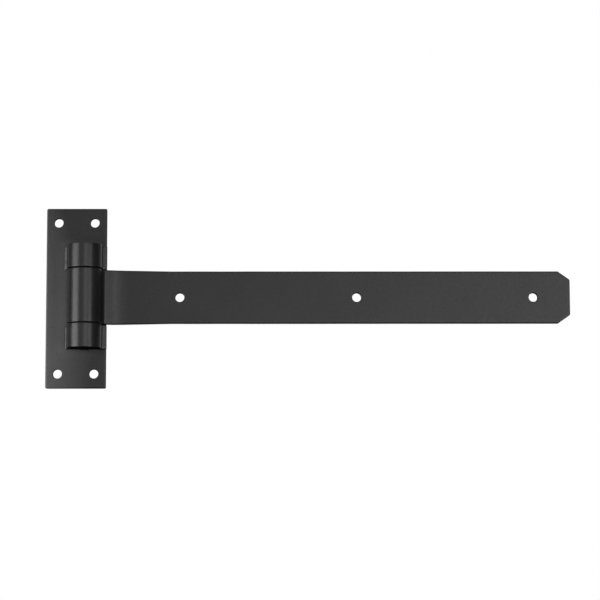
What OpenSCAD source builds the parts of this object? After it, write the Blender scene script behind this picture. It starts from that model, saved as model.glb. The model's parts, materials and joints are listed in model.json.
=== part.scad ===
// T hinge for a door or gate: a long flat strap with a rolled eye turns on a
// fixed pin, between two rolled knuckles that are welded to a mounting plate.
//
// Frame: +Z up along the pin, +X along the strap, -Y out of the wall towards
// the person looking at the hinge. The origin is the middle of the mounting
// plate's back face. Millimetres.

/* [Mounting plate] */
// Width of the plate, across the pin
plate_w = 50; // [48:0.5:56]
// Height of the plate, along the pin
plate_h = 150; // [140:1:200]
// Thickness of the plate
plate_t = 5; // [4:0.5:6]
// Diameter of the four plate holes
plate_hole_d = 7.5; // [5:0.5:9]
// Hole centres apart, across the plate
plate_hole_dx = 30; // [26:0.5:34]
// Hole centres apart, up the plate
plate_hole_dz = 126; // [118:1:128]
// Pin axis to the middle of the plate, sideways
pin_x = 8; // [7.8:0.1:9]

/* [Strap] */
// Pin axis to the strap's tip
strap_l = 401.5; // [390:0.5:600]
// Width of the flat part of the strap
strap_w = 43.5; // [36:0.5:44.5]
// Thickness of the strap
strap_t = 6; // [5:0.5:6.5]
// How far the strap's back stands out from the plate's back
strap_rise = 4; // [3:0.5:6]
// Height of the rolled eye, where the bar is spread by the rolling
eye_h = 45.2; // [44.6:0.2:46]
// Pin axis to the place where the bar is back to its own width
taper_end = 72; // [50:1:73]
// Inside radius of the tight bend where the bar leaves the eye
bend_r = 5; // [5:1:12]
// Inside radius of the long bend that eases the bar down to level
ease_r = 50; // [40:1:80]
// Slope of the bar where the tight bend meets the long one, in degrees
ease_a = 17; // [12:1:20]
// Angle left open between the end of the eye's roll and the bar
eye_gap = 46; // [46:1:80]
// Diameter of the strap holes
strap_hole_d = 7.5; // [5:0.5:9]
// Pin axis to the first strap hole
first_hole = 78; // [72:0.5:90]
// Strap holes apart
hole_pitch = 146.5; // [90:0.5:148]
// Length of the tip's corner cuts, along the strap
tip_cut_x = 10; // [4:0.5:14]
// Depth of the tip's corner cuts, across the strap
tip_cut_z = 7; // [4:0.5:14]

/* [Knuckles and pin] */
// Height of each fixed knuckle
knuckle_h = 20; // [15:0.5:26]
// Thickness of the strip the knuckles are rolled from
knuckle_t = 6.4; // [5:0.2:6.8]
// Inside radius of the bend at the foot of each knuckle
foot_r = 2; // [2:0.5:7]
// How far each knuckle's foot stands past the edge of the plate
foot_over = 0.6; // [0:0.1:1]
// Diameter of the pin
pin_d = 16; // [14:0.5:16]
// Radial clearance of the strap's eye on the pin
eye_clear = 0.08; // [0.02:0.01:0.1]
// Gap between the eye and each knuckle
side_gap = 0.4; // [0.3:0.1:1.5]
// Gap between the thicker of the rolled parts and the plate behind it
back_gap = 0.09; // [0.05:0.01:0.6]
// Height of the peened head at each end of the pin
head_h = 1.4; // [0.8:0.1:2]
// Diameter of the peened heads
head_d = 19; // [17:0.5:22]
// Angle left open between the end of a knuckle's roll and its foot
knuckle_gap = 54; // [54:1:80]
// Pin axis to the toe of the side welds, sideways
weld_toe = 19.3; // [16.5:0.1:22]

/* [Hidden] */
$fn = 96;
roll_fn = 192;       // facets of the rolls and bends
dome_fn = 200;       // facets of the pin's domed heads

paint = [0.16, 0.16, 0.17];
pin_color = [0.2, 0.2, 0.21];

edge = 0.5;          // broken edge on the plate and the hole rims
over = 1;            // how far cutting shapes pass the work
reach = 10;          // the same, in front of and behind the whole hinge
weld_bite = 0.15;    // how far the weld metal runs into its neighbours
knuckle_clear = 0.01;
pin_proud = 0.02;    // how far the pin's shank passes each knuckle
strap_holes = 3;
taper_start = 22;    // pin axis to the place where the strap starts to narrow

// Side weld: its inner edge, left of the pin axis, and two points on its face
side_weld_inner = 8.5;
side_weld_face = [[-side_weld_inner, 10.5], [-12.7, 6]];
// Foot weld: sides measured in from the plate's right edge, depths out from
// the plate's front, and how far it stops short of each end of the knuckle
foot_weld_left = 4;
foot_weld_right = 0.3;
foot_weld_left_depth = 2.4;
foot_weld_right_depth = 1;
foot_weld_inset = 1;

eye_inner_r = pin_d / 2 + eye_clear;
eye_outer_r = eye_inner_r + strap_t;
knuckle_inner_r = pin_d / 2 + knuckle_clear;
knuckle_outer_r = knuckle_inner_r + knuckle_t;
pin_y = -(plate_t + back_gap + max(eye_outer_r, knuckle_outer_r));

// Places in the 2D profiles, which are drawn round the pin axis: x right along
// the strap, y back towards the wall
plate_front = -pin_y - plate_t;
plate_edge = plate_w / 2 - pin_x;            // the plate's right edge
strap_front = -pin_y - strap_rise - strap_t; // front of the strap's flat part
foot_center = bend_center(knuckle_outer_r, foot_r, plate_front - knuckle_t - foot_r);

// Bottom of each knuckle
upper_z = eye_h / 2 + side_gap;
lower_z = -upper_z - knuckle_h;

// Centre, at depth y, of a bend that touches a roll of outer radius roll_r
function bend_center(roll_r, inner_r, y) = [sqrt(pow(roll_r + inner_r, 2) - pow(y, 2)), y];

module ring(inner_r, thickness) {
    difference() {
        circle(inner_r + thickness, $fn = roll_fn);
        circle(inner_r, $fn = roll_fn);
    }
}

// Bar rolled round the pin: all but the wedge from the direction of the bend's
// centre to the angle gap
module roll(inner_r, thickness, center, gap) {
    difference() {
        ring(inner_r, thickness);
        polygon([[0, 0], 2 * center, 3 * (inner_r + thickness) * [1, tan(gap)]]);
    }
}

// Bend round center, from the end of the roll to the line from center to limit
module bend(center, inner_r, thickness, limit) {
    far = 9 * (inner_r + thickness);
    intersection() {
        translate(center) ring(inner_r, thickness);
        polygon([[0, 0], 2 * center, [2 * center[0], far], [0, far]]);
        polygon([center, limit, [-far, limit[1]], [-far, -far], [center[0], -far]]);
    }
}

// Flat bar rolled into an eye: over the front, round the left side and back
// behind the pin. On the right a tight bend and then a long one bring it level
module strap_profile() {
    center_step = ease_r - bend_r;
    tight = bend_center(eye_outer_r, bend_r, strap_front - ease_r + center_step * cos(ease_a));
    long = [tight[0] + center_step * sin(ease_a), strap_front - ease_r];
    // The bends meet on the line from tight to joint
    joint = tight + 3 * (bend_r + strap_t) * [-sin(ease_a), cos(ease_a)];
    roll(eye_inner_r, strap_t, tight, eye_gap);
    bend(tight, bend_r, strap_t, joint);
    intersection() {
        translate(long) ring(ease_r, strap_t);
        polygon([tight, joint, [long[0], joint[1]], [long[0], tight[1]]]);
    }
    translate([long[0], strap_front]) square([strap_l - long[0], strap_t]);
}

// Strip rolled round the pin and bent out to a foot that lies on the plate,
// cut off just past the plate's right edge
module knuckle_profile() {
    clip = knuckle_outer_r + over;
    intersection() {
        union() {
            roll(knuckle_inner_r, knuckle_t, foot_center, knuckle_gap);
            bend(foot_center, foot_r, knuckle_t, [foot_center[0], 3 * knuckle_outer_r]);
            translate([foot_center[0], plate_front - knuckle_t])
                square([knuckle_outer_r, knuckle_t]);
        }
        translate([-clip, -clip])
            square([clip + plate_edge + foot_over, 2 * (plate_front + over)]);
    }
}

// Fillet in the corner between the plate and the left side of the knuckle
module side_weld_profile() {
    back = plate_front + weld_bite;
    difference() {
        polygon(concat([[-weld_toe, back], [-side_weld_inner, back]], side_weld_face));
        circle(knuckle_outer_r - weld_bite);
    }
}

// Fill between the plate and the curved back of the knuckle's foot
module foot_weld_profile() {
    back = plate_front + weld_bite;
    left = plate_edge - foot_weld_left;
    right = plate_edge - foot_weld_right;
    difference() {
        polygon([
            [left, back],
            [right, back],
            [right, plate_front - foot_weld_right_depth],
            [left, plate_front - foot_weld_left_depth]
        ]);
        translate(foot_center) circle(foot_r + knuckle_t - weld_bite, $fn = roll_fn);
    }
}

// A profile made solid along the pin, from z up
module along_pin(z, height) {
    translate([pin_x, pin_y, z]) linear_extrude(height) children();
}

// Cutter for a hole through a bar whose back is at y = 0, with a broken front rim
module hole(diameter, thickness) {
    rotate([90, 0, 0]) {
        translate([0, 0, -over]) cylinder(d = diameter, h = thickness + 2 * over);
        translate([0, 0, thickness - edge])
            cylinder(d1 = diameter, d2 = diameter + 4 * edge, h = 2 * edge);
    }
}

// Section of the plate, back at y = 0, with broken front corners
module plate_section(width) {
    side = width / 2;
    polygon([
        [-side, 0],
        [side, 0],
        [side, edge - plate_t],
        [side - edge, -plate_t],
        [edge - side, -plate_t],
        [-side, edge - plate_t]
    ]);
}

// Front view of the strap, x from the pin axis: the eye, the taper, the flat
// part and the cut tip. The upper half is listed and mirrored for the lower
module strap_outline() {
    upper = [
        [-eye_outer_r - over, eye_h / 2 + over],
        [taper_start, eye_h / 2 + over],
        [taper_start, eye_h / 2],
        [taper_end, strap_w / 2],
        [strap_l - tip_cut_x, strap_w / 2],
        [strap_l, strap_w / 2 - tip_cut_z]
    ];
    lower = [for (i = [len(upper) - 1:-1:0]) [upper[i][0], -upper[i][1]]];
    polygon(concat(upper, lower));
}

module mounting_plate() {
    color(paint) difference() {
        intersection() {
            translate([0, 0, -plate_h / 2]) linear_extrude(plate_h) plate_section(plate_w);
            rotate([0, -90, 0]) translate([0, 0, -plate_w])
                linear_extrude(2 * plate_w) plate_section(plate_h);
        }
        for (x = [-1, 1], z = [-1, 1])
            translate([x * plate_hole_dx / 2, 0, z * plate_hole_dz / 2])
                hole(plate_hole_d, plate_t);
    }
}

module upper_knuckle() {
    color(paint) along_pin(upper_z, knuckle_h) knuckle_profile();
}

module lower_knuckle() {
    color(paint) along_pin(lower_z, knuckle_h) knuckle_profile();
}

module upper_side_weld() {
    color(paint) along_pin(upper_z, knuckle_h) side_weld_profile();
}

module lower_side_weld() {
    color(paint) along_pin(lower_z, knuckle_h) side_weld_profile();
}

module foot_weld(z) {
    along_pin(z + foot_weld_inset, knuckle_h - 2 * foot_weld_inset) foot_weld_profile();
}

module upper_foot_weld() {
    color(paint) foot_weld(upper_z);
}

module lower_foot_weld() {
    color(paint) foot_weld(lower_z);
}

// Round pin with a low dome peened over at each end
module hinge_pin() {
    top = upper_z + knuckle_h + pin_proud;
    dome_r = (pow(head_d / 2, 2) + pow(head_h, 2)) / (2 * head_h);
    color(pin_color) translate([pin_x, pin_y, 0]) union() {
        translate([0, 0, -top]) cylinder(d = pin_d, h = 2 * top);
        for (turn = [0, 180]) rotate([turn, 0, 0]) intersection() {
            translate([0, 0, top + head_h - dome_r]) sphere(dome_r, $fn = dome_fn);
            translate([0, 0, top]) cylinder(d = head_d + over, h = head_h + over);
        }
    }
}

module strap() {
    color(paint) difference() {
        intersection() {
            along_pin(-eye_h / 2, eye_h) strap_profile();
            translate([pin_x, reach, 0]) rotate([90, 0, 0])
                linear_extrude(-pin_y + eye_outer_r + 2 * reach) strap_outline();
        }
        for (i = [0:strap_holes - 1])
            translate([pin_x + first_hole + i * hole_pitch, -strap_rise, 0])
                hole(strap_hole_d, strap_t);
    }
}

mounting_plate();
upper_knuckle();
lower_knuckle();
upper_side_weld();
lower_side_weld();
upper_foot_weld();
lower_foot_weld();
hinge_pin();
strap();
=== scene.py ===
"""T hinge in black satin powder coat: plate, two rolled knuckles, rolled strap, weld beads, pin.

The pin stands upright along Z, the strap runs from it to +X, and +Y points at the wall, so the
front is -Y. Pieces are worked out in mm and built in metres; materials and studio use metres.
"""
import json
import math

import bmesh
import bpy
import numpy as np
from mathutils import Matrix, Vector, noise


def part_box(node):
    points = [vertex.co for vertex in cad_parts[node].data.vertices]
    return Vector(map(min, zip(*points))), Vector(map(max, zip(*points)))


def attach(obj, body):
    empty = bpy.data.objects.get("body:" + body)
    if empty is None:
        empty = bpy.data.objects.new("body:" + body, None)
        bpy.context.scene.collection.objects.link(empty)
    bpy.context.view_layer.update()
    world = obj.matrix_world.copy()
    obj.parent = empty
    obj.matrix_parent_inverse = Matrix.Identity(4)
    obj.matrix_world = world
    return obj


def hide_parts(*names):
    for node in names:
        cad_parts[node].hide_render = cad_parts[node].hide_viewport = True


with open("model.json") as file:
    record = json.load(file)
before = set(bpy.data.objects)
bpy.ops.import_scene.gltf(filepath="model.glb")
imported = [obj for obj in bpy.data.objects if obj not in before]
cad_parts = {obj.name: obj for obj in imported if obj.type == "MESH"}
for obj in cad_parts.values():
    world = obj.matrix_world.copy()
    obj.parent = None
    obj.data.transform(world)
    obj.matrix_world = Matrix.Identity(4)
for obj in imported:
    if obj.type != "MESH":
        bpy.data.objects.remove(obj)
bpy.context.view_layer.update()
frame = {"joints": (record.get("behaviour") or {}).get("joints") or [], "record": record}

MM = 0.001


# ---------------------------------------------------------------- sizes, mm
def box_mm(node):
    low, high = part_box(node)
    return np.array(low) * 1000, np.array(high) * 1000


def bend_centre(roll_r, bend_r, depth):
    """Centre, from the pin axis, of a bend at this depth that touches a roll of outer radius roll_r."""
    return math.sqrt((roll_r + bend_r) ** 2 - depth ** 2), depth


PIN_X, PIN_Y = (1000 * v for v in frame["joints"][0]["pos_m"][:2])
MOUNTS = {m["name"]: m for m in frame["record"]["mounts"]}
PLATE_LO, PLATE_HI = box_mm("mounting_plate")
STRAP_LO, STRAP_HI = box_mm("strap")
UPPER_LO, UPPER_HI = box_mm("upper_knuckle")
LOWER_LO, LOWER_HI = box_mm("lower_knuckle")
PIN_LO, PIN_HI = box_mm("hinge_pin")

# radii are to a bar's face; depths run from the pin axis towards the wall
PLATE_T = PLATE_HI[1] - PLATE_LO[1]
PLATE_DEPTH = -PIN_Y - PLATE_T       # of the plate's front face
HOLE_RIM = 0.55                      # rounding at the mouth of each bolt hole
WINDOW_HALF, WINDOW_STEP = 7.5, 1.25  # square patch of mesh round each hole

STRAP_T = 6.0
EYE_OUTER_R = PIN_X - STRAP_LO[0]
EYE_R = EYE_OUTER_R - STRAP_T
EYE_GAP = 46.0                       # angle of the roll's free end, degrees
BEND_R = 5.0                         # tight bend out of the eye
EASE_R, EASE_ANGLE = 50.0, math.radians(17)  # wide bend that follows it
UPSET, UPSET_RUN = 0.3, 6.5          # thickening at the tight bend, and its reach to each side

KNUCKLE_T = 6.4
KNUCKLE_OUTER_R = PIN_X - UPPER_LO[0]
KNUCKLE_R = KNUCKLE_OUTER_R - KNUCKLE_T
KNUCKLE_GAP = 54.0
FOOT_R = 2.0                         # bend from the roll into the foot
FOOT_X, FOOT_Y = bend_centre(KNUCKLE_OUTER_R, FOOT_R, PLATE_DEPTH - KNUCKLE_T - FOOT_R)

BACK_OFF = math.radians(26)          # how far before its end a roll eases into the next bend
LEAD = 0.4                           # extra roll ahead of that, for the softening, radians
CORNER_STEPS = 5                     # segments in each rounded corner of a bar's section
MIN_CORNER_R = 0.12

PIN_R = 8.0
WELD_HOLLOW = 2.1                    # depth of the side welds' hollow face


# ---------------------------------------------------------------- mesh tools
def wobble(point, scale, seed):
    """Smooth noise from -1 to 1 at a place in mm."""
    x, y, z = point
    return noise.noise(Vector((x / scale + seed, y / scale - seed * 1.7, z / scale + seed * 0.6)))


def make(name, node, verts, faces, material, cut=None, body="plate_leaf"):
    """Object from vertices in mm. Faces for which cut(centre, normal) holds get the thin, near-black
    coat that paints shade on them.
    """
    mesh = bpy.data.meshes.new(name)
    mesh.from_pydata([(x * MM, y * MM, z * MM) for x, y, z in verts], [], faces)
    bm = bmesh.new()
    bm.from_mesh(mesh)
    bmesh.ops.remove_doubles(bm, verts=bm.verts, dist=2e-6)
    bmesh.ops.dissolve_degenerate(bm, dist=1e-6, edges=bm.edges)
    bmesh.ops.recalc_face_normals(bm, faces=bm.faces)
    if bm.calc_volume(signed=True) < 0:
        bmesh.ops.reverse_faces(bm, faces=bm.faces)
    for face in bm.faces:
        face.smooth = True
    loose = [v for v in bm.verts if not v.link_faces]
    bmesh.ops.delete(bm, geom=loose, context="VERTS")
    bm.to_mesh(mesh)
    bm.free()
    mesh.materials.append(material)
    if cut is not None:
        # near-black coat on cut faces: partly a thin matt coat, partly painted shade
        mesh.materials.append(CUT_FACE_SHADE)
        for poly in mesh.polygons:
            if cut(poly.center / MM, poly.normal):
                poly.material_index = 1
    obj = bpy.data.objects.new(name, mesh)
    bpy.context.scene.collection.objects.link(obj)
    normals = obj.modifiers.new("even_normals", "WEIGHTED_NORMAL")
    normals.weight = 60
    normals.keep_sharp = True
    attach(obj, body)
    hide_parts(node)
    return obj


def end_cut(centre, normal):
    """Cut test for faces that look up or down, which get the near-black painted shade."""
    return abs(normal.z) > 0.9


def bore_cut(holes, radius):
    """Cut test for the bores of holes along Y, each given as (x, z), which get the near-black painted
    shade.
    """
    return lambda centre, normal: abs(normal.y) < 0.3 and any(
        math.hypot(centre.x - x, centre.z - z) < radius + 0.3 for x, z in holes)


def bands(loops, skip=()):
    """Quads between successive closed loops of vertex numbers, less the skipped (loop, column)s."""
    return [(a[j], a[(j + 1) % len(a)], b[(j + 1) % len(a)], b[j])
            for i, (a, b) in enumerate(zip(loops, loops[1:]))
            for j in range(len(a)) if (i, j) not in skip]


def section(half_t, half_w, front_r, back_r, rows, fracs):
    """A bar's section as (u, z) points: front face upwards, top edge, back face downwards, bottom edge.

    Fracs place further rows between the outermost given row and the corner's rounding.
    """
    front_r, back_r = max(front_r, MIN_CORNER_R), max(back_r, MIN_CORNER_R)

    def column(radius):
        outer = [rows[-1] + (half_w - radius - rows[-1]) * f for f in fracs]
        return [-z for z in reversed(outer)] + list(rows) + outer

    front = [(half_t, z) for z in column(front_r)]
    back = [(-half_t, z) for z in reversed(column(back_r))]
    turns = np.linspace(0, math.pi / 2, CORNER_STEPS + 1)
    top = [(half_t - front_r + front_r * math.cos(q), half_w - front_r + front_r * math.sin(q))
           for q in turns[1:]]
    top += [(-half_t + back_r - back_r * math.sin(q), half_w - back_r + back_r * math.cos(q))
            for q in turns[:-1]]
    bottom = [(u, -z) for u, z in reversed(top)]
    return front + top + back + bottom


def sweep(stations, thick, front_r, back_r, rows, fracs, windows=()):
    """Vertices and faces of a bar swept along its stations.

    A station is (place, half width, inset), where place maps the height over the bar's middle to
    (x, y). A window holds a round hole: (first station, last station, first row, last row, x, z,
    hole radius).
    """
    verts, loops = [], []

    def add_loop(points):
        start = len(verts)
        verts.extend(points)
        return list(range(start, len(verts)))

    for place, half_w, inset in stations:
        points = section(thick / 2 - inset, half_w - inset, front_r - inset, back_r - inset,
                         rows, fracs)
        loops.append(add_loop([(*place(u), z) for u, z in points]))

    face_n = len(rows) + 2 * len(fracs)
    edge_n = 2 * CORNER_STEPS

    def column(side, row):
        """Place in a loop of a row on the front (side 1) or back (side -1) face."""
        col = len(fracs) + row
        return col if side > 0 else 2 * face_n + edge_n - 1 - col

    skip = {(i, col) for i0, i1, j0, j1, *_ in windows for i in range(i0, i1)
            for j in range(j0, j1) for col in (column(1, j), column(-1, j + 1))}
    faces = bands(loops, skip)

    for loop in (loops[0], loops[-1]):
        front, top = loop[:face_n], loop[face_n:face_n + edge_n]
        back = loop[face_n + edge_n:2 * face_n + edge_n]
        bottom = loop[2 * face_n + edge_n:]
        for j in range(face_n - 1):
            faces.append((front[j], front[j + 1], back[face_n - 2 - j], back[face_n - 1 - j]))
        faces.append([front[-1]] + top + [back[0]])
        faces.append([back[-1]] + bottom + [front[0]])

    for i0, i1, j0, j1, hole_x, hole_z, radius in windows:
        border = [(i, j0) for i in range(i0, i1)] + [(i1, j) for j in range(j0, j1)]
        border += [(i, j1) for i in range(i1, i0, -1)] + [(i0, j) for j in range(j1, j0, -1)]
        angles = [-3 * math.pi / 4 + 2 * math.pi * s / len(border) for s in range(len(border))]
        place = stations[(i0 + i1) // 2][0]

        def circle(r):
            return [(hole_x + r * math.cos(q), hole_z + r * math.sin(q)) for q in angles]

        sides = []
        for side in (1, -1):
            edge = [loops[i][column(side, j)] for i, j in border]
            chain = [edge]
            # from the square border in to the circle of the rim, then over the rim
            for f in (0.72, 0.45, 0.2, 0.0):
                points = []
                for e, (x, z) in zip(edge, circle(radius + HOLE_RIM)):
                    edge_x, edge_y, edge_z = verts[e]
                    points.append((x + (edge_x - x) * f, edge_y, z + (edge_z - z) * f))
                chain.append(add_loop(points))
            for q in np.linspace(0, math.pi / 2, 5)[1:]:
                y = place(side * (thick / 2 - HOLE_RIM + HOLE_RIM * math.cos(q)))[1]
                ring = circle(radius + HOLE_RIM - HOLE_RIM * math.sin(q))
                chain.append(add_loop([(x, y, z) for x, z in ring]))
            sides.append(chain)
        faces += bands(sides[0] + sides[1][::-1])
    return verts, faces


def spread(start, end, step):
    """Even places from start to end, about a step apart."""
    return list(np.linspace(start, end, max(2, int(round(abs(end - start) / step)) + 1)))


def merged(*lists):
    """All places in order, less near repeats."""
    places = sorted(v for one in lists for v in one)
    keep = [places[0]]
    for v in places[1:]:
        if v - keep[-1] > 0.05:
            keep.append(v)
    return keep


def around(centres, low, high, wide):
    """Places from low to high: fine in the window round each centre, wide elsewhere."""
    out, at = [], low
    for c in sorted(centres):
        out += spread(at, c - WINDOW_HALF, wide)
        out += spread(c - WINDOW_HALF, c + WINDOW_HALF, WINDOW_STEP)
        at = c + WINDOW_HALF
    return merged(out + spread(at, high, wide))


def hole_windows(holes, radius, first, xs, rows):
    """A window round each (x, z) hole, where xs are the places of the stations from first on."""
    def nearest(places, v):
        return min(range(len(places)), key=lambda i: abs(places[i] - v))

    return [(first + nearest(xs, x - WINDOW_HALF), first + nearest(xs, x + WINDOW_HALF),
             nearest(rows, z - WINDOW_HALF), nearest(rows, z + WINDOW_HALF), x, z, radius)
            for x, z in holes]


def rounding(radius, steps):
    """(reach, inset) pairs over a bar's rounded end, from its full section to its tip."""
    return [(radius * math.sin(q), radius * (1 - math.cos(q)))
            for q in np.linspace(0, math.pi / 2, steps + 1)]


# ---------------------------------------------------------------- materials
def add_node(tree, kind, inputs=None, **settings):
    """Shader node whose inputs are set to values or linked from sockets."""
    node = tree.nodes.new(kind)
    for key, value in settings.items():
        setattr(node, key, value)
    for key, value in (inputs or {}).items():
        if isinstance(value, bpy.types.NodeSocket):
            tree.links.new(value, node.inputs[key])
        else:
            node.inputs[key].default_value = value
    return node


def add_math(tree, operation, *values):
    return add_node(tree, "ShaderNodeMath", dict(enumerate(values)), operation=operation).outputs[0]


def add_smoothstep(tree, value, start, end, to):
    """Smooth rise from 0 at start to its full value at end."""
    return add_node(tree, "ShaderNodeMapRange",
                    {"From Min": start, "From Max": end, "To Max": to, "Value": value},
                    interpolation_type="SMOOTHSTEP").outputs["Result"]


def painted_light_colour(tree, coords, grain, colour, amount):
    """Painted light on the coat: greys it towards the left and bottom, where the lamps on the left and
    below fall, and in a soft band beside the pin that paints the barrel's reflection.
    """
    axes = add_node(tree, "ShaderNodeSeparateXYZ", {0: coords})
    wide = grain(scale=14, detail=2)
    # lighter towards the left and bottom as painted light, with a little random variation
    terms = [add_math(tree, "MULTIPLY", socket, weight) for socket, weight in (
        (axes.outputs["X"], -30.0), (axes.outputs["Z"], -5.0), (wide, 0.3))]
    height = add_math(tree, "ABSOLUTE", axes.outputs["Z"])
    terms.append(add_smoothstep(tree, height, start=0.02, end=0.08, to=-0.26))
    # painted reflection: a paler band on the plate beside the pin's barrel
    terms.append(add_math(tree, "MULTIPLY",
                          add_smoothstep(tree, axes.outputs["X"], start=-0.0195, end=-0.0095, to=1.0),
                          add_smoothstep(tree, height, start=0.052, end=0.040, to=0.42)))
    total = terms[0]
    for term in terms[1:]:
        total = add_math(tree, "ADD", total, term)
    share = add_node(tree, "ShaderNodeMapRange",
                     {"From Min": -0.15, "From Max": 1.0, "To Max": amount, "Value": total})
    # the paler grey mixed in here is the painted light
    return add_node(tree, "ShaderNodeMixRGB",
                    {"Color2": (0.16, 0.16, 0.162, 1), "Fac": share.outputs["Result"],
                     "Color1": colour}).outputs["Color"]


def powder_coat(name, base, rough, peel, specular=0.5, painted_light=0.0):
    """Black satin powder coat: fine orange peel, faint clouds in colour, pale specks, and optionally
    painted light that greys it towards the left, bottom and pin.
    """
    mat = bpy.data.materials.new(name)
    mat.use_nodes = True
    tree = mat.node_tree
    tree.nodes.clear()
    output = add_node(tree, "ShaderNodeOutputMaterial")
    bsdf = add_node(tree, "ShaderNodeBsdfPrincipled", {"Specular IOR Level": specular})
    tree.links.new(bsdf.outputs[0], output.inputs[0])
    coords = add_node(tree, "ShaderNodeTexCoord").outputs["Object"]

    def grain(scale, detail, roughness=0.5):
        return add_node(tree, "ShaderNodeTexNoise", {
            "Scale": scale, "Detail": detail, "Roughness": roughness,
            "Vector": coords}).outputs["Fac"]

    def tint(factor):
        return [v * factor for v in base] + [1]

    clouds = grain(scale=38, detail=3)
    fine = grain(scale=420, detail=4, roughness=0.6)
    ramp = add_node(tree, "ShaderNodeValToRGB", {"Fac": clouds})
    for element, position, factor in zip(ramp.color_ramp.elements, (0.32, 0.72), (0.88, 1.12)):
        element.position = position
        element.color = tint(factor)
    # specks of lighter pigment and settled dust
    cells = add_node(tree, "ShaderNodeTexVoronoi", {"Scale": 900, "Vector": coords})
    specks = add_node(tree, "ShaderNodeMapRange", {
        "From Min": 0.16, "From Max": 0.04, "To Max": 0.22, "Value": cells.outputs["Distance"]})
    colour = add_node(tree, "ShaderNodeMixRGB", {
        "Color2": tint(2.6), "Fac": specks.outputs["Result"],
        "Color1": ramp.outputs["Color"]}).outputs["Color"]
    # painted light: paler grey towards the left and bottom and beside the pin, standing in for the
    # lamps and the barrel's reflection
    if painted_light:
        colour = painted_light_colour(tree, coords, grain, colour, painted_light)
    tree.links.new(colour, bsdf.inputs["Base Color"])
    gloss = add_node(tree, "ShaderNodeMapRange", {
        "From Min": 0.3, "From Max": 0.7, "To Min": rough - 0.035, "To Max": rough + 0.035,
        "Value": fine})
    tree.links.new(gloss.outputs["Result"], bsdf.inputs["Roughness"])
    coarse_peel = grain(scale=560, detail=2, roughness=0.45)
    fine_peel = grain(scale=1700, detail=1)
    coarse_bump = add_node(tree, "ShaderNodeBump", {
        "Strength": 0.30 * peel, "Distance": 0.00006, "Height": coarse_peel})
    fine_bump = add_node(tree, "ShaderNodeBump", {
        "Strength": 0.22 * peel, "Distance": 0.00002, "Height": fine_peel,
        "Normal": coarse_bump.outputs["Normal"]})
    tree.links.new(fine_bump.outputs["Normal"], bsdf.inputs["Normal"])
    return mat


COAT = powder_coat("black_powder_coat", base=(0.016, 0.016, 0.0165), rough=0.30, peel=0.5)
# the plate's coat has painted light: paler towards the left and bottom, and a painted reflection beside
# the pin
COAT_PLATE = powder_coat("black_powder_coat_on_plate", base=(0.014, 0.014, 0.0145), rough=0.30,
                         peel=0.5, painted_light=0.5)
COAT_WELD = powder_coat("black_powder_coat_on_weld", base=(0.016, 0.016, 0.0165), rough=0.34,
                        peel=1.6)
# thin matt coat on cut faces, made near black as painted shade on the knuckle and pin ends and in the
# bores
CUT_FACE_SHADE = powder_coat("thin_coat_and_painted_shade_on_cut_faces", base=(0.004, 0.004, 0.0041), rough=0.8,
                       peel=1.3, specular=0.01)
COAT_PIN = powder_coat("black_powder_coat_on_pin", base=(0.015, 0.015, 0.0155), rough=0.34,
                       peel=1.8)


# ---------------------------------------------------------------- mounting plate
def flat_place(mid_y, x):
    """Place of a station on a flat bar that runs along X, its front to -Y."""
    return lambda u: (x, mid_y - u)


def plate():
    mount = MOUNTS["plate_bolts"]
    half_x, half_z = mount["dims"]["spacing_x_mm"] / 2, mount["dims"]["spacing_y_mm"] / 2
    hole_r = mount["dims"]["hole_r_mm"]
    centre_x, centre_z = mount["pos_m"][0] * 1000, mount["pos_m"][2] * 1000
    left, right = PLATE_LO[0], PLATE_HI[0]
    half_w = (PLATE_HI[2] - PLATE_LO[2]) / 2
    front_r, back_r = 1.0, 0.5
    roll_run, roll_depth = 2.5, 0.32     # the sheared left edge, rolled over
    row_margin = 2.2
    mid_y = (PLATE_LO[1] + PLATE_HI[1]) / 2

    def station(x, inset=0.0):
        rolled = roll_depth * max(0.0, (left + roll_run - x) / roll_run) ** 2
        return flat_place(mid_y, x), half_w, rolled + inset

    xs = around([centre_x - half_x, centre_x + half_x], left + front_r, right - front_r, 2.0)
    xs = merged(spread(left + front_r, centre_x - half_x - WINDOW_HALF, 0.3), xs)
    rows = around([centre_z - half_z, centre_z + half_z],
                  -(half_w - row_margin), half_w - row_margin, 3.0)
    end = rounding(front_r, 6)
    stations = [station(left + front_r - reach, inset) for reach, inset in end[:0:-1]]
    first = len(stations)
    stations += [station(x) for x in xs]
    stations += [station(right - front_r + reach, inset) for reach, inset in end[1:]]
    holes = [(centre_x + sx * half_x, centre_z + sz * half_z) for sx in (-1, 1) for sz in (-1, 1)]
    verts, faces = sweep(stations, PLATE_T, front_r, back_r, rows, [1.0],
                         hole_windows(holes, hole_r, first, xs, rows))
    make("plate_body", "mounting_plate", verts, faces, COAT_PLATE, bore_cut(holes, hole_r))


# ---------------------------------------------------------------- rolled bars
def roll_stations(inner_r, thick, leave, half_w, end_r, gap, step):
    """From the free end of a roll, round the pin, to shortly before the angle where the bar leaves.

    Angles run from +X towards the wall; gap and step are in degrees.
    """
    mid_r = inner_r + thick / 2

    def at(angle, shift=0.0):
        """Place at an angle, shifted along the tangent there."""
        c, s = math.cos(angle), math.sin(angle)
        return lambda u: (PIN_X + (mid_r + u) * c - shift * s, PIN_Y + (mid_r + u) * s + shift * c)

    gap = math.radians(gap)
    out = [(at(gap, end_r - reach), half_w, inset) for reach, inset in rounding(end_r, 5)[:0:-1]]
    out += [(at(q), half_w, 0.0)
            for q in spread(gap + end_r / mid_r, 2 * math.pi + leave - BACK_OFF, math.radians(step))]
    return out


def arc(centre_x, centre_y, radius, start, end):
    """Dense points along an arc."""
    n = max(2, int(abs(end - start) * radius / 0.2))
    return [(centre_x + radius * math.cos(a), centre_y + radius * math.sin(a))
            for a in np.linspace(start, end, n + 1)]


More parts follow.
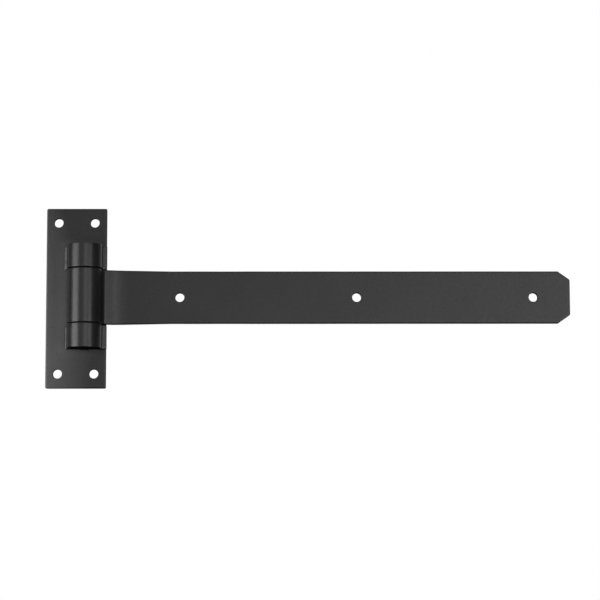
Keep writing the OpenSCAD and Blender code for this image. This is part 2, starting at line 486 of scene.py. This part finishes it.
def softened(path, eases, picks):
    """(distance, middle, front direction) at picked distances along a line with eased bends.

    The path is dense points from the pin axis. Eases lists (distance along, ease in mm), zero at
    both ends, so that changes of bend run into each other as in bar bent by hand tools.
    """
    points = np.array(path)
    dist = np.concatenate([[0], np.cumsum(np.hypot(*np.diff(points, axis=0).T))])
    spacing = np.gradient(dist)
    ease = np.interp(dist, [d for d, _ in eases], [e for _, e in eases])
    mid = points.copy()
    for i in range(len(points)):
        if ease[i] > 0.05:
            weight = np.exp(-0.5 * ((dist - dist[i]) / ease[i]) ** 2) * spacing
            mid[i] = (points * weight[:, None]).sum(0) / weight.sum()
    tangent = np.gradient(mid, axis=0)
    tangent /= np.hypot(tangent[:, 0], tangent[:, 1])[:, None]
    front = np.stack([tangent[:, 1], -tangent[:, 0]], 1)
    nearest = [int(np.argmin(np.abs(dist - d))) for d in picks]
    return [(dist[i], mid[i], front[i]) for i in nearest]


def scaled_place(mid, front, scale):
    """Place of a station whose front half is made thicker or thinner by a scale."""
    def place(u):
        u = u * scale if u > 0 else u
        return PIN_X + mid[0] + front[0] * u, PIN_Y + mid[1] + front[1] * u
    return place


def knuckle(name, node, low, high, seed):
    half_w, mid_z = (high - low) / 2, (low + high) / 2
    end_r = 0.6
    foot_slope = 0.2                 # share of the front half's thickness lost at the foot's end
    slope_lead = 0.8
    leave = math.atan2(FOOT_Y, FOOT_X)
    mid_r, foot_mid_r = KNUCKLE_R + KNUCKLE_T / 2, FOOT_R + KNUCKLE_T / 2
    foot_mid_y = FOOT_Y + foot_mid_r
    foot_end = UPPER_HI[0] - PIN_X
    path = arc(0, 0, mid_r, leave - BACK_OFF - LEAD, leave)
    path += arc(FOOT_X, FOOT_Y, foot_mid_r, math.pi + leave, math.pi / 2)[1:]
    path += [(x, foot_mid_y) for x in np.arange(FOOT_X + 0.2, foot_end + 6, 0.2)]
    # distances along the path where easing starts, the roll ends, the bend ends and easing stops
    ease_start = LEAD * mid_r
    roll_end = ease_start + BACK_OFF * mid_r
    bend_end = roll_end + foot_mid_r * (math.pi + leave - math.pi / 2)
    ease_end = bend_end + foot_end - end_r - FOOT_X
    eases = [(ease_start, 0), (roll_end, 0.9), (0.6 * roll_end + 0.4 * bend_end, 1.2),
             (bend_end, 1.2), (ease_end, 0)]

    def foot_place(mid, front):
        """Place whose front face slopes a little towards the foot's end."""
        over = mid[0] + front[0] * KNUCKLE_T / 2 - FOOT_X + slope_lead
        share = min(1.0, max(0.0, over / (foot_end - FOOT_X + slope_lead)))
        return scaled_place(mid, front, 1 - foot_slope * share)

    stations = roll_stations(KNUCKLE_R, KNUCKLE_T, leave, half_w, end_r, KNUCKLE_GAP, 3.5)
    picks = np.arange(ease_start + 0.35, ease_end - 0.2, 0.35)
    stations += [(foot_place(mid, front), half_w, 0.0)
                 for _, mid, front in softened(path, eases, picks)]
    stations += [(foot_place((foot_end - end_r + reach, foot_mid_y), (0, -1)), half_w, inset)
                 for reach, inset in rounding(end_r, 5)]
    verts, faces = sweep(stations, KNUCKLE_T, end_r, end_r, spread(-6.0, 6.0, 1.5), [0.5, 1.0])
    # faint unevenness of the outer face
    uneven = []
    for x, y, z in verts:
        scale = 1.0
        if math.hypot(x - PIN_X, y - PIN_Y) > KNUCKLE_R + 2:
            scale -= 0.05 * (0.5 + 0.5 * wobble((x, y, z), 9, seed)) / KNUCKLE_OUTER_R
        uneven.append((PIN_X + (x - PIN_X) * scale, PIN_Y + (y - PIN_Y) * scale, mid_z + z))
    make(name, node, uneven, faces, COAT, end_cut)


def strap():
    root_half_w, tip_half_w = (STRAP_HI[2] - STRAP_LO[2]) / 2, 21.75
    taper_start, taper_end = 22.0, 72.0  # from the pin axis
    tip = STRAP_HI[0]
    corner_x, corner_z = 10.0, 7.0       # cut corners at the tip
    end_r = 0.9
    ease_run = 12.0                      # flat bar after the wide bend, over which easing stops
    front_y = MOUNTS["strap_back"]["pos_m"][1] * 1000 - PIN_Y - STRAP_T
    bend_x, bend_y = bend_centre(
        EYE_OUTER_R, BEND_R, front_y - EASE_R + (EASE_R - BEND_R) * math.cos(EASE_ANGLE))
    leave = math.atan2(bend_y, bend_x)
    ease_x, ease_y = bend_x + (EASE_R - BEND_R) * math.sin(EASE_ANGLE), front_y - EASE_R

    def width(x):
        """Half width at a distance from the pin axis, with the faint waver of a rolled edge."""
        share = min(1.0, max(0.0, (x - taper_start) / (taper_end - taper_start)))
        half_w = root_half_w + (tip_half_w - root_half_w) * share
        return half_w - 0.10 * (0.5 + 0.5 * wobble((x, 0, 0), 26, 4.2))

    mid_r, bend_mid_r, ease_mid_r = (r + STRAP_T / 2 for r in (EYE_R, BEND_R, EASE_R))
    turn = math.pi / 2 + EASE_ANGLE
    path = arc(0, 0, mid_r, leave - BACK_OFF - LEAD, leave)
    path += arc(bend_x, bend_y, bend_mid_r, math.pi + leave, turn)[1:]
    path += arc(ease_x, ease_y, ease_mid_r, turn, math.pi / 2)[1:]
    path += [(x, ease_y + ease_mid_r) for x in np.arange(ease_x + 0.2, ease_x + ease_run + 14, 0.2)]
    # distances along the path
    ease_start = LEAD * mid_r
    roll_end = ease_start + BACK_OFF * mid_r
    bend_end = roll_end + bend_mid_r * (math.pi + leave - math.pi / 2 - EASE_ANGLE)
    wide_end = bend_end + ease_mid_r * EASE_ANGLE
    ease_end = wide_end + ease_run
    eases = [(ease_start, 0), (roll_end, 1.0), (0.5 * (roll_end + bend_end), 2.0),
             (bend_end, 2.2), (0.5 * (bend_end + wide_end), 3.5), (wide_end, 4.0), (ease_end, 0)]
    picks = list(np.arange(ease_start + 0.5, bend_end + 2, 0.5))
    picks += list(np.arange(bend_end + 2.5, ease_end - 0.4, 1.0))

    stations = roll_stations(EYE_R, STRAP_T, leave, root_half_w - 0.05, end_r, EYE_GAP, 3.0)
    for dist, mid, front in softened(path, eases, picks):
        # a little thicker where the tight bend runs out, as bar is on the inside of a bend
        off = (dist - bend_end - 1.5) / UPSET_RUN
        swell = math.cos(math.pi / 2 * off) ** 2 if abs(off) < 1 else 0
        place = scaled_place(mid, front, 1 + UPSET / (STRAP_T / 2) * swell)
        stations.append((place, width(mid[0]), 0.0))

    near_pair, far_pair = MOUNTS["strap_bolts_near"], MOUNTS["strap_bolts_far"]
    hole_z = near_pair["pos_m"][2] * 1000
    pitch, hole_r = near_pair["dims"]["spacing_x_mm"], near_pair["dims"]["hole_r_mm"]
    first_x = near_pair["pos_m"][0] * 1000 - pitch / 2
    last_x = far_pair["pos_m"][0] * 1000 + pitch / 2
    hole_xs = [first_x, (first_x + last_x) / 2, last_x]
    holes = [(x, hole_z) for x in hole_xs]
    mid_y = PIN_Y + front_y + STRAP_T / 2
    xs = around(hole_xs, PIN_X + ease_x + ease_run, tip - corner_x, 3.0)
    first = len(stations)
    stations += [(flat_place(mid_y, x), width(x - PIN_X), 0.0) for x in xs]
    corner_half_w = width(tip - corner_x - PIN_X)

    def corner_station(x, inset=0.0):
        half_w = corner_half_w - corner_z * (x - tip + corner_x) / corner_x
        return flat_place(mid_y, x), half_w, inset

    stations += [corner_station(tip - corner_x + (corner_x - end_r) * f)
                 for f in np.linspace(0, 1, 8)[1:-1]]
    stations += [corner_station(tip - end_r + reach, inset) for reach, inset in rounding(end_r, 6)]
    rows = spread(-WINDOW_HALF, WINDOW_HALF, WINDOW_STEP)
    verts, faces = sweep(stations, STRAP_T, end_r, end_r, rows, [0.25, 0.5, 0.75, 1.0],
                         hole_windows(holes, hole_r, first, xs, rows))
    make("strap_bar", "strap", verts, faces, COAT, bore_cut(holes, hole_r), body="strap_leaf")


# ---------------------------------------------------------------- welds
def make_weld(name, node, rings):
    """Solid through closed rings of points, capped at both ends."""
    n = len(rings[0])
    loops = [list(range(i * n, i * n + n)) for i in range(len(rings))]
    verts = [point for ring in rings for point in ring]
    make(name, node, verts, bands(loops) + [loops[0], loops[-1]], COAT_WELD)


def side_weld(name, node, low, high, seed, drawn):
    """A hollow fillet bead between the plate and the left side of a knuckle.

    Its toe on the plate is drawn in by some mm from the left edge of the CAD's weld.
    """
    toe_x = box_mm(node)[0][0] - PIN_X + drawn
    root_x, root_y = -13.05, 5.6         # upper edge, on the knuckle
    back_x, back_y = -9.2, 9.6           # buried behind the knuckle's face
    end_margin, end_share = 0.15, 0.08   # the bead fades over this share of its length at each end
    sunk_y = PLATE_DEPTH + 0.12          # just inside the plate
    rings = []
    for f in (i / 56 for i in range(57)):
        z = low + end_margin + (high - low - 2 * end_margin) * f
        full = math.sin(math.pi / 2 * min(1.0, min(f, 1 - f) / end_share))
        ripple = abs(math.sin(math.pi * (z / 1.9 + 0.12 * wobble((z, 3, 0), 4, seed))))
        toe = np.array([toe_x + 0.3 * wobble((z, 0, 0), 5, seed), PLATE_DEPTH])
        root = np.array([root_x + 0.25 * wobble((z, 9, 0), 3.0, seed),
                         root_y + 0.5 * wobble((z, 5, 0), 4.0, seed)])
        run = root - toe
        normal = np.array([-run[1], run[0]]) / np.linalg.norm(run)
        if normal[0] > 0:
            normal = -normal
        ring = []
        for g in (j / 14 for j in range(15)):
            bulge = -WELD_HOLLOW * 4 * g * (1 - g) + 0.05 * ripple * math.sin(math.pi * g) ** 0.5
            bulge += 0.05 * wobble((z, g * 8, 2), 1.6, seed)
            p = toe + run * g + normal * bulge * (0.4 + 0.6 * full) - normal * 0.5 * (1 - full)
            ring.append((PIN_X + p[0], PIN_Y + p[1], z))
        ring.append((PIN_X + back_x, PIN_Y + back_y, z))
        ring.append((PIN_X + back_x, PIN_Y + sunk_y, z))
        ring.append((ring[0][0], PIN_Y + sunk_y, z))
        rings.append(ring)
    make_weld(name, node, rings)


def foot_weld(name, node, seed):
    """The root run between the curved back of a knuckle's foot and the plate."""
    low, high = box_mm(node)
    left, right = low[0] - PIN_X + 0.1, high[0] - PIN_X - 0.1
    radius = FOOT_R + KNUCKLE_T - 0.3    # just inside the foot's back face
    rings = []
    for i in range(25):
        z = low[2] + (high[2] - low[2]) * i / 24
        pull = 0.25 * (0.5 + 0.5 * wobble((z, 1, 1), 2.4, seed))
        xs = np.linspace(left, right - pull, 9)
        ring = []
        for x in xs:
            rise = math.sqrt(radius * radius - (x - FOOT_X) ** 2) if x < FOOT_X else radius
            ring.append((PIN_X + x, PIN_Y + FOOT_Y + rise, z))
        ring += [(PIN_X + x, PIN_Y + PLATE_DEPTH + 0.1, z) for x in xs[::-1]]
        rings.append(ring)
    make_weld(name, node, rings)


# ---------------------------------------------------------------- pin
def pin():
    """The pin, with a dented dome of a head at both ends."""
    sides = 96
    drop = 0.02                          # of the dome below the CAD's height
    top = PIN_HI[2]
    shoulder = UPPER_HI[2] + 0.03
    head_r = (PIN_HI[0] - PIN_LO[0]) / 2
    dome_r = (head_r ** 2 + (top - shoulder) ** 2) / (2 * (top - shoulder))
    profile = []                         # (radius, z) from the top to the middle
    for share in np.linspace(0, 1, 15)[1:]:
        r = (head_r - 0.12) * share
        profile.append((r, top - dome_r + math.sqrt(dome_r * dome_r - r * r) - drop))
    profile += [(head_r - 0.06, shoulder + 0.1), (head_r - 0.2, shoulder), (PIN_R, shoulder)]
    profile += [(PIN_R, z) for z in np.linspace(shoulder - 0.4, 0, 16)]
    profile += [(r, -z) for r, z in reversed(profile[:-1])]
    verts = [(PIN_X, PIN_Y, top - drop)]
    for r, z in profile:
        for s in range(sides):
            q = 2 * math.pi * s / sides
            x, y = r * math.cos(q), r * math.sin(q)
            sink = 0.0
            if abs(z) > shoulder + 0.15:
                dent = 0.5 + 0.5 * wobble((x, y, z), 3.2, 7.7)
                sink = 0.30 * dent * (1 - (r / head_r) ** 4)
            verts.append((PIN_X + x, PIN_Y + y, z - math.copysign(sink, z)))
    verts.append((PIN_X, PIN_Y, -top + drop))
    last = len(verts) - 1
    faces = []
    for s in range(sides):
        after = (s + 1) % sides
        faces.append((0, 1 + s, 1 + after))
        faces.append((last, last - sides + after, last - sides + s))
    for i in range(len(profile) - 1):
        a, b = 1 + i * sides, 1 + (i + 1) * sides
        for s in range(sides):
            after = (s + 1) % sides
            faces.append((a + s, b + s, b + after, a + after))
    make("pin_peened", "hinge_pin", verts, faces, COAT_PIN, end_cut)


plate()
knuckle("knuckle_top", "upper_knuckle", UPPER_LO[2], UPPER_HI[2], seed=1.3)
knuckle("knuckle_bottom", "lower_knuckle", LOWER_LO[2], LOWER_HI[2], seed=5.1)
strap()
side_weld("side_weld_top", "upper_side_weld", UPPER_LO[2], UPPER_HI[2], seed=2.2, drawn=0.9)
side_weld("side_weld_bottom", "lower_side_weld", LOWER_LO[2], LOWER_HI[2], seed=8.4, drawn=2.0)
foot_weld("foot_weld_top", "upper_foot_weld", seed=3.3)
foot_weld("foot_weld_bottom", "lower_foot_weld", seed=6.6)
pin()


# ---------------------------------------------------------------- stage, lights, camera
def toward(azimuth, elevation):
    """Direction at an azimuth from the front, positive to the right, and an elevation, in degrees."""
    a, e = math.radians(azimuth), math.radians(elevation)
    return Vector((math.sin(a) * math.cos(e), -math.cos(a) * math.cos(e), math.sin(e)))


def floor(half=6, z=-1.6):
    """Floor that is pale to the camera, and dark in the coat's reflections, like one in shade."""
    mesh = bpy.data.meshes.new("floor")
    mesh.from_pydata([(-half, -half, z), (half, -half, z), (half, half, z), (-half, half, z)],
                     [], [(0, 1, 2, 3)])
    mat = bpy.data.materials.new("floor")
    mat.use_nodes = True
    tree = mat.node_tree
    shade = tree.nodes["Principled BSDF"]
    shade.inputs["Base Color"].default_value = (0.06, 0.06, 0.06, 1)
    shade.inputs["Roughness"].default_value = 0.9
    pale = add_node(tree, "ShaderNodeEmission", {"Color": (0.86, 0.86, 0.86, 1)})
    rays = add_node(tree, "ShaderNodeLightPath")
    pick = add_node(tree, "ShaderNodeMixShader", {
        0: rays.outputs["Is Camera Ray"], 1: shade.outputs[0], 2: pale.outputs[0]})
    tree.links.new(pick.outputs[0], tree.nodes["Material Output"].inputs["Surface"])
    mesh.materials.append(mat)
    obj = bpy.data.objects.new("floor", mesh)
    bpy.context.scene.collection.objects.link(obj)


AMBIENT = 0.08
# soft round glows: direction, full within and gone beyond these degrees from it, brightness
GLOWS = [
    (toward(5, -6), 8, 42, 0.42),        # the room in front
    (toward(-15, -1), 6, 14, 0.1),
    (toward(15, -1), 4, 19, 1.7),
    (Vector((0, 1, 0)), 30, 75, 0.28),   # the backdrop
]


def surroundings():
    """White to the camera; to everything else, dim with soft glows."""
    world = bpy.data.worlds.new("studio")
    bpy.context.scene.world = world
    world.use_nodes = True
    tree = world.node_tree
    tree.nodes.clear()
    coords = add_node(tree, "ShaderNodeTexCoord").outputs["Generated"]
    level = AMBIENT
    for direction, inner, outer, brightness in GLOWS:
        dot = add_node(tree, "ShaderNodeVectorMath", {0: coords, 1: direction.normalized()},
                       operation="DOT_PRODUCT")
        glow = add_smoothstep(tree, dot.outputs["Value"], start=math.cos(math.radians(outer)),
                              end=math.cos(math.radians(inner)), to=brightness)
        level = add_math(tree, "ADD", level, glow)
    output = add_node(tree, "ShaderNodeOutputWorld")
    pick = add_node(tree, "ShaderNodeMixShader")
    rays = add_node(tree, "ShaderNodeLightPath")
    lit = add_node(tree, "ShaderNodeBackground", {"Color": (1, 1, 1, 1), "Strength": level})
    white = add_node(tree, "ShaderNodeBackground", {"Color": (1, 1, 1, 1), "Strength": 1.0})
    for i, socket in enumerate((rays.outputs["Is Camera Ray"], lit.outputs[0], white.outputs[0])):
        tree.links.new(socket, pick.inputs[i])
    tree.links.new(pick.outputs[0], output.inputs[0])


LIGHTS_AIM = Vector((0.008, 0, 0))
# name, azimuth, elevation, distance, width, height, brightness of the surface
SOFTBOXES = [
    ("strip_left", -57, -12, 2.0, 1.6, 1.7, 4.3),
    ("strip_right", 43, -12, 2.2, 0.8, 1.7, 2.5),
    ("top_soft", 170, 72, 2.2, 1.4, 1.4, 1.1),
    ("back_soft", 180, 42, 2.4, 1.2, 1.2, 0.8),
]


def softbox(name, azimuth, elevation, distance, width, height, brightness):
    light = bpy.data.lights.new(name, "AREA")
    light.shape = "RECTANGLE"
    light.size, light.size_y = width, height
    light.energy = brightness * math.pi * width * height
    obj = bpy.data.objects.new(name, light)
    bpy.context.scene.collection.objects.link(obj)
    direction = toward(azimuth, elevation)
    obj.location = LIGHTS_AIM + direction * distance
    obj.rotation_euler = direction.to_track_quat("Z", "Y").to_euler()
    obj.visible_camera = False


def camera(target, azimuth, elevation, roll, distance, lens):
    """Camera aimed at a target from a direction; angles in degrees, lens in mm."""
    data = bpy.data.cameras.new("camera")
    data.lens = lens
    data.sensor_width = 36
    obj = bpy.data.objects.new("camera", data)
    bpy.context.scene.collection.objects.link(obj)
    back = toward(azimuth, elevation)
    right = (-back).cross(Vector((0, 0, 1))).normalized()
    up = right.cross(-back)
    c, s = math.cos(math.radians(roll)), math.sin(math.radians(roll))
    right, up = c * right + s * up, c * up - s * right
    obj.location = target + back * distance
    obj.rotation_euler = Matrix((right, up, back)).transposed().to_euler()
    bpy.context.scene.camera = obj


floor()
surroundings()
for box in SOFTBOXES:
    softbox(*box)
camera(target=Vector((0.18564, 0, -0.00110)), azimuth=-0.8, elevation=-6.55, roll=-0.12,
       distance=1.7, lens=122.49)
bpy.context.scene.view_settings.view_transform = "Standard"

bpy.context.view_layer.update()
